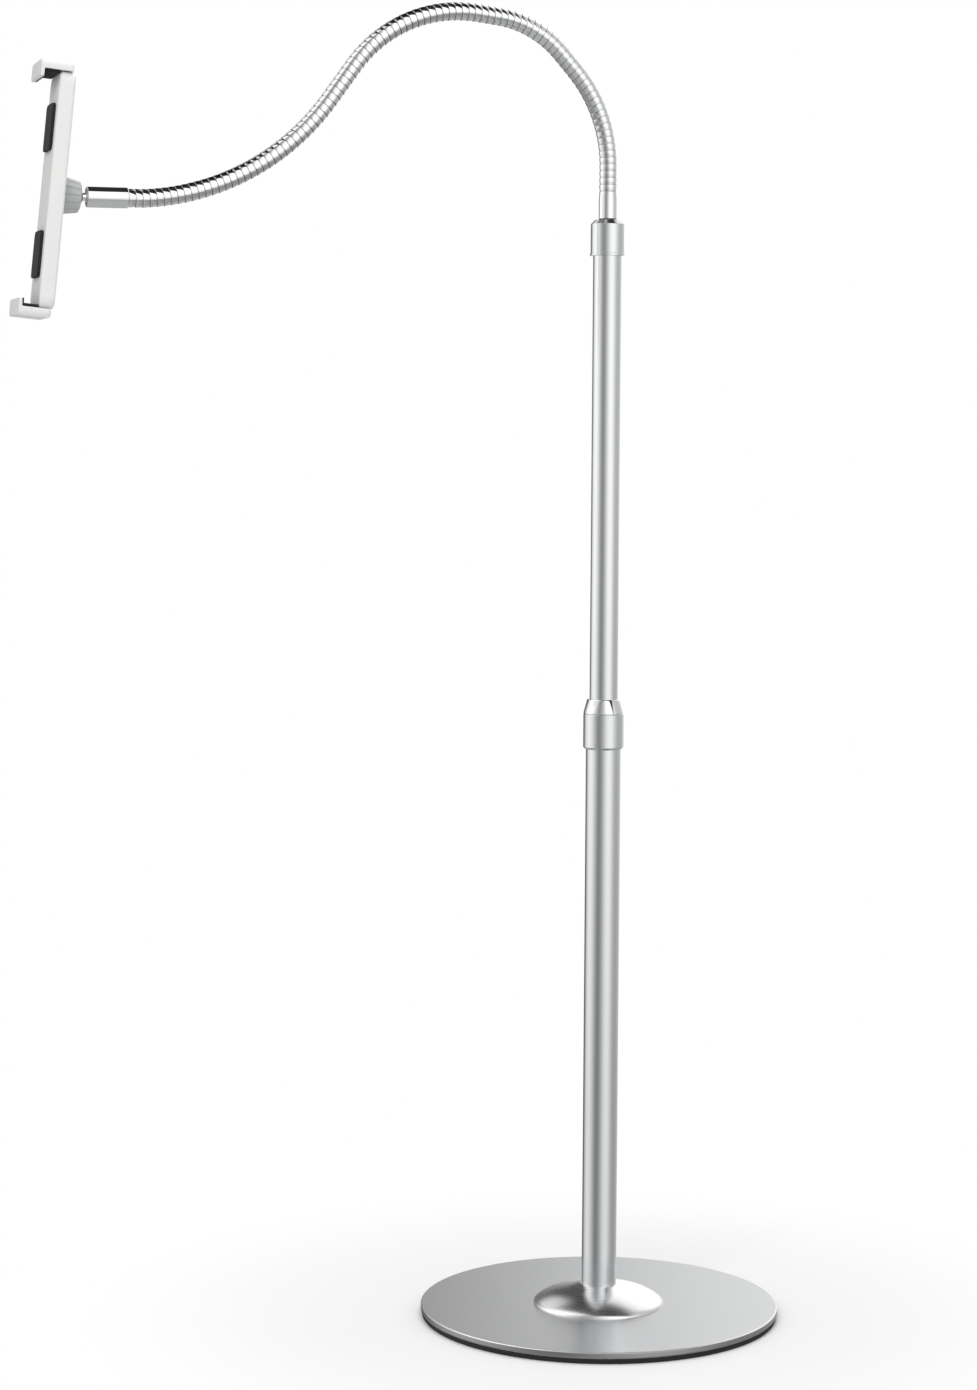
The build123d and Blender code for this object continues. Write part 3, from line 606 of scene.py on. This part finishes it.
def softened(node, material, name=None, angle=28, edge=0.00025):
    """A CAD piece with its loose triangles joined, its round faces smooth and its edges just broken."""
    source = nodes[node]
    mesh = source.data.copy()
    shape = bmesh.new()
    shape.from_mesh(mesh)
    bmesh.ops.remove_doubles(shape, verts=shape.verts, dist=weld_gap)
    bmesh.ops.dissolve_limit(shape, angle_limit=flat_within, verts=shape.verts, edges=shape.edges)
    shape.to_mesh(mesh)
    shape.free()
    piece = bpy.data.objects.new(name or node + "_finished", mesh)
    bpy.context.scene.collection.objects.link(piece)
    mesh.shade_smooth()
    mesh.set_sharp_from_angle(angle=math.radians(angle))
    if edge:
        rounding = piece.modifiers.new("edge", "BEVEL")
        rounding.width = edge
        rounding.segments = 2
        rounding.limit_method = "ANGLE"
        rounding.angle_limit = softened_from
        rounding.harden_normals = True
        rounding.use_clamp_overlap = True
    painted(piece, material)
    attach(piece, source["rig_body"])
    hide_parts(node)
    return piece


white_abs = moulded_abs("white_moulded_abs", "#EFEFEE", roughness=0.38)
for node in ("clamp_back_cover", "clamp_front_shell"):
    softened(node, white_abs)
for node in ("lower_jaw", "upper_jaw"):
    softened(node, white_abs, edge=0.0012)

# Locking nut: moulded in grey nylon and fluted, so that it can be turned by hand.
# It screws onto the clamp's back and squeezes the ball. Its flutes are deepened here a little.

grey_nylon = moulded_abs("grey_moulded_nylon", "#B9BBBB", roughness=0.5)
nut = softened("locking_nut", grey_nylon, angle=30, edge=0.00015)
nut_centre = hinge("clamp_turn")
nut_axis = next(Vector(joint["axis"]).normalized() for joint in frame["joints"]
                if joint["name"] == "clamp_turn")
nut_ends = (0.0114, 0.0135)
nut_outer_share = 0.78
flute_gain = 1.9
nut_places = [(point.co - nut_centre).dot(nut_axis) for point in nut.data.vertices]
nut_back, nut_front = min(nut_places), max(nut_places)
for point, along in zip(nut.data.vertices, nut_places):
    outward = point.co - nut_centre - nut_axis * along
    hull = nut_ends[0] + (nut_ends[1] - nut_ends[0]) * (along - nut_back) / (nut_front - nut_back)
    if outward.length > nut_outer_share * hull:
        point.co += outward.normalized() * (1 - flute_gain) * (hull - outward.length)

# Linings and grip pads: moulded black rubber with a fine dull grain.
# The linings are pressed into the jaws, and the two pads are glued to the casing's front.

for node in ("grip_pads", "lower_jaw_pad", "upper_jaw_pad"):
    softened(node, rubber)

# Slide bar, springs, screws and the pole's hidden fastenings: steel, stamped, wound or turned.
# All are zinc plated, which leaves a dull, slightly uneven metal.


def zinc_plated_steel():
    """Zinc plate: a dull grey metal, slightly uneven in its shine."""
    material, tree, shader, place = new_material("zinc_plated_steel", "#A7A9AC", metallic=1, roughness=0.4)
    grain = grained(tree, shader, place, grain_mm=1.2, depth_mm=0.006)
    varied(tree, shader, "Roughness", grain, low=0.32, high=0.5)
    return material


zinc = zinc_plated_steel()
for node in ("slide_bar", "jaw_screws", "return_springs", "cover_screws", "base_bolt", "base_washer",
             "tube_foot_plug", "neck_insert", "bush_ring"):
    painted(nodes[node], zinc)

# Bushes and the split sleeve inside the pole: moulded in natural nylon, slightly yellow and waxy.
# They keep the two tubes from rubbing on each other.

natural_nylon = moulded_abs("natural_nylon", "#DAD7CB", roughness=0.45)
for node in ("collet_sleeve", "guide_bush", "bush_end_cap"):
    painted(nodes[node], natural_nylon)

# Floor: a plain matt white studio sweep.
# It takes the soft shadow round the base and fades out to plain white. Metal looks past it into the room.

floor_size = 14.0
shadow_inner = 0.17
shadow_outer = 0.42
floor_mesh = bpy.data.meshes.new("studio_floor")
half = floor_size / 2
floor_corners = [(-half, -half, 0), (half, -half, 0), (half, half, 0), (-half, half, 0)]
floor_mesh.from_pydata(floor_corners, [], [(0, 1, 2, 3)])
floor = bpy.data.objects.new("studio_floor", floor_mesh)
bpy.context.scene.collection.objects.link(floor)
floor_material, floor_tree, floor_shader, floor_place = new_material("white_sweep", "#E6E6E6", metallic=0,
                                                                     roughness=0.9)
distance = add(floor_tree, "ShaderNodeVectorMath", {0: floor_place}, operation="LENGTH").outputs["Value"]
fade = add(floor_tree, "ShaderNodeMapRange",
           {"Value": distance, "From Min": shadow_inner, "From Max": shadow_outer},
           interpolation_type="SMOOTHSTEP").outputs["Result"]
plain = add(floor_tree, "ShaderNodeEmission", {"Color": (1, 1, 1, 1), "Strength": 1.0}).outputs["Emission"]
clear = add(floor_tree, "ShaderNodeBsdfTransparent").outputs["BSDF"]
pale = add(floor_tree, "ShaderNodeBsdfDiffuse", {"Color": linear("#F2F2F2")}).outputs["BSDF"]
near = add(floor_tree, "ShaderNodeMixShader", {0: fade, 1: pale, 2: plain}).outputs[0]
floor_rays = add(floor_tree, "ShaderNodeLightPath").outputs
seen = add(floor_tree, "ShaderNodeMixShader",
           {0: floor_rays["Is Camera Ray"], 1: floor_shader.outputs["BSDF"], 2: near}).outputs[0]
shown = add(floor_tree, "ShaderNodeMixShader",
            {0: floor_rays["Is Glossy Ray"], 1: seen, 2: clear}).outputs[0]
floor_tree.links.new(shown, floor_tree.nodes["Material Output"].inputs["Surface"])
painted(floor, floor_material)

# Studio: a pale room. What metal mirrors is a white surround with darker openings between its flats, a dark
# beam slanting overhead and two bright windows high up behind the stand, laid out by bearing from the front.
# Toward the floor it fades to a grey that is darker to the sides.

world = bpy.data.worlds.new("studio")
bpy.context.scene.world = world
world.use_nodes = True
sky = world.node_tree
sky.nodes.clear()
camera_bearing = -108.3
surround = ((-180, "#D8D8D8"), (-174, "#8A8A8A"), (-162, "#505050"), (-140, "#6E6E6E"), (-122, "#D4D4D4"),
            (-106, "#F8F8F8"), (-83, "#FFFFFF"), (-63, "#E2E2E2"), (-45, "#AEAEAE"), (-28, "#828282"),
            (-11, "#9A9A9A"), (5, "#CACACA"), (20, "#F4F4F4"), (37, "#FFFFFF"), (50, "#FBFBFB"),
            (65, "#DADADA"), (84, "#B4B4B4"), (108, "#B0B0B0"), (130, "#BEBEBE"), (155, "#D8D8D8"),
            (178, "#F0F0F0"))
surround_gain = 1.34
dim_share = 0.7
dim_low, dim_high = -0.21, -0.02
floor_tone = 0.47
floor_side_tone = 0.31
floor_side_start, floor_side_end = 0.3, 0.65
floor_line_low, floor_line_high = -0.46, -0.32
beam_bearing = math.radians(32)
beam_shift = 0.126
beam_half = 0.31
beam_edge = 0.07
beam_end_bearing = math.radians(167.5)
beam_end_low, beam_end_high = -0.34, -0.26
beam_rise_low, beam_rise_high = 0.2, 0.36
ceiling_tone = 0.03
direction = add(sky, "ShaderNodeTexCoord").outputs["Generated"]
upness = add(sky, "ShaderNodeSeparateXYZ", {0: direction}).outputs["Z"]
facing = add(sky, "ShaderNodeVectorRotate", {"Vector": direction, "Angle": -math.radians(camera_bearing)},
             rotation_type="Z_AXIS").outputs["Vector"]
sides = add(sky, "ShaderNodeSeparateXYZ", {0: facing}).outputs
bearing = add(sky, "ShaderNodeMath", {0: sides["Y"], 1: sides["X"]}, operation="ARCTAN2").outputs[0]
round_share = add(sky, "ShaderNodeMapRange", {"Value": bearing, "From Min": -math.pi, "From Max": math.pi})
flats = add(sky, "ShaderNodeValToRGB", {"Fac": round_share.outputs["Result"]})
ramp = flats.color_ramp
ramp.interpolation = "LINEAR"
for index, (angle, colour) in enumerate(surround):
    share_round = (angle + 180) / 360
    stop = ramp.elements[0] if index == 0 else ramp.elements.new(share_round)
    stop.position = share_round
    stop.color = linear(colour)
ramp.elements.remove(ramp.elements[len(ramp.elements) - 1])
dimming = add(sky, "ShaderNodeMapRange", {"Value": upness, "From Min": dim_low, "From Max": dim_high,
                                          "To Min": dim_share * surround_gain,
                                          "To Max": surround_gain})
lit_flats = add(sky, "ShaderNodeVectorMath", {0: flats.outputs["Color"], "Scale": dimming.outputs["Result"]},
                operation="SCALE").outputs["Vector"]
above_floor = add(sky, "ShaderNodeMapRange",
                  {"Value": upness, "From Min": floor_line_low, "From Max": floor_line_high},
                  interpolation_type="SMOOTHSTEP").outputs["Result"]
sideways = add(sky, "ShaderNodeMath", {0: sides["Y"]}, operation="ABSOLUTE").outputs[0]
floor_shade = add(sky, "ShaderNodeMapRange",
                  {"Value": sideways, "From Min": floor_side_start, "From Max": floor_side_end,
                   "To Min": floor_tone, "To Max": floor_side_tone},
                  interpolation_type="SMOOTHSTEP").outputs["Result"]
sides_and_floor = add(sky, "ShaderNodeMix", {"Factor": above_floor, 4: floor_shade}, data_type="VECTOR")
sky.links.new(lit_flats, sides_and_floor.inputs[5])
beam_side = (-math.sin(beam_bearing), math.cos(beam_bearing), 0)
off_beam = add(sky, "ShaderNodeVectorMath", {0: facing, 1: beam_side},
               operation="DOT_PRODUCT").outputs["Value"]
from_beam = add(sky, "ShaderNodeMath", {0: off_beam, 1: beam_shift}, operation="SUBTRACT").outputs[0]
beam_gap = add(sky, "ShaderNodeMath", {0: from_beam}, operation="ABSOLUTE").outputs[0]
on_beam = add(sky, "ShaderNodeMapRange",
              {"Value": beam_gap, "From Min": beam_half + beam_edge, "From Max": beam_half},
              interpolation_type="SMOOTHSTEP").outputs["Result"]
overhead = add(sky, "ShaderNodeMapRange",
               {"Value": upness, "From Min": beam_rise_low, "From Max": beam_rise_high},
               interpolation_type="SMOOTHSTEP").outputs["Result"]
beam_end = (math.cos(beam_end_bearing), math.sin(beam_end_bearing), 0)
past_end = add(sky, "ShaderNodeVectorMath", {0: facing, 1: beam_end},
               operation="DOT_PRODUCT").outputs["Value"]
behind = add(sky, "ShaderNodeMapRange",
             {"Value": past_end, "From Min": beam_end_low, "From Max": beam_end_high},
             interpolation_type="SMOOTHSTEP").outputs["Result"]
high_beam = add(sky, "ShaderNodeMath", {0: on_beam, 1: overhead}, operation="MULTIPLY").outputs[0]
dark_share = add(sky, "ShaderNodeMath", {0: high_beam, 1: behind}, operation="MULTIPLY").outputs[0]
ceiling = add(sky, "ShaderNodeMapRange", {"Value": dark_share, "To Min": 1.0, "To Max": ceiling_tone})
mirrored = add(sky, "ShaderNodeVectorMath",
               {0: sides_and_floor.outputs[1], "Scale": ceiling.outputs["Result"]},
               operation="SCALE").outputs["Vector"]
windows = ((-143, 36, 8, 20, 0.8), (150, 38, 16, 25, 1.15))
for window_bearing, window_height, window_core, window_rim, window_tone in windows:
    turn, lift = math.radians(window_bearing), math.radians(window_height)
    core, rim = math.cos(math.radians(window_core)), math.cos(math.radians(window_rim))
    aim = (math.cos(turn) * math.cos(lift), math.sin(turn) * math.cos(lift), math.sin(lift))
    aimed = add(sky, "ShaderNodeVectorMath", {0: facing, 1: aim}, operation="DOT_PRODUCT").outputs["Value"]
    on_window = add(sky, "ShaderNodeMapRange", {"Value": aimed, "From Min": rim, "From Max": core},
                    interpolation_type="SMOOTHSTEP").outputs["Result"]
    bright = (window_tone, window_tone, window_tone)
    mirrored = add(sky, "ShaderNodeMix", {0: on_window, 4: mirrored, 5: bright},
                   data_type="VECTOR").outputs[1]
sky_rays = add(sky, "ShaderNodeLightPath").outputs
room_strength = 0.62
room = add(sky, "ShaderNodeBackground", {"Color": (1, 1, 1, 1), "Strength": room_strength}).outputs[0]
mirror = add(sky, "ShaderNodeBackground", {"Color": mirrored, "Strength": 1.0}).outputs[0]
white = add(sky, "ShaderNodeBackground", {"Color": (1, 1, 1, 1), "Strength": 1.0}).outputs[0]
lit = add(sky, "ShaderNodeMixShader", {0: sky_rays["Is Glossy Ray"], 1: room, 2: mirror}).outputs[0]
all_rays = add(sky, "ShaderNodeMixShader", {0: sky_rays["Is Camera Ray"], 1: lit, 2: white}).outputs[0]
out = add(sky, "ShaderNodeOutputWorld")
sky.links.new(all_rays, out.inputs["Surface"])


def soft_box(name, place, target, size, power):
    """A square area lamp aimed at a point, out of the camera's sight."""
    lamp = bpy.data.lights.new(name, "AREA")
    lamp.size = size
    lamp.energy = power
    box = bpy.data.objects.new(name, lamp)
    box.location = place
    box.rotation_euler = (Vector(target) - Vector(place)).to_track_quat("-Z", "Y").to_euler()
    box.visible_camera = False
    bpy.context.scene.collection.objects.link(box)
    return box


key = soft_box("key_softbox", place=(-1.6, -2.2, 2.4), target=(-0.2, 0, 0.6), size=1.4, power=30)
top = soft_box("top_softbox", place=(0.3, 0.2, 2.6), target=(0, 0, 0), size=1.6, power=22)
soft_box("side_softbox", place=(1.0, 1.35, 0.8), target=(0.1, 0, 0), size=1.1, power=0.7)
key.visible_glossy = False
top.visible_glossy = False

# Camera: level with the middle of the pole, a little above, and turned to the side the clamp is on.
# Its place, turn and focal length give the stand the same perspective and place in the frame.

long_side = 1390
focal_pixels = 3200
camera_data = bpy.data.cameras.new("camera")
camera_data.sensor_width = 36
camera_data.lens = focal_pixels * camera_data.sensor_width / long_side
camera = bpy.data.objects.new("camera", camera_data)
camera_place = Vector((-0.7776, -2.3471, 0.6919))
camera_heading = math.radians(16.26)
camera_pitch = math.radians(4.721)
camera_roll = math.radians(0.32)
level = Vector((math.sin(camera_heading), math.cos(camera_heading), 0))
ahead = level * math.cos(camera_pitch) - Vector((0, 0, math.sin(camera_pitch)))
across = Vector((level.y, -level.x, 0))
upward = across.cross(ahead)
right = across * math.cos(camera_roll) + upward * math.sin(camera_roll)
above = upward * math.cos(camera_roll) - across * math.sin(camera_roll)
turning = Matrix((right, above, -ahead)).transposed().to_4x4()
camera.matrix_world = Matrix.Translation(camera_place) @ turning
bpy.context.scene.collection.objects.link(camera)
bpy.context.scene.camera = camera
bpy.context.scene.view_settings.view_transform = "Standard"
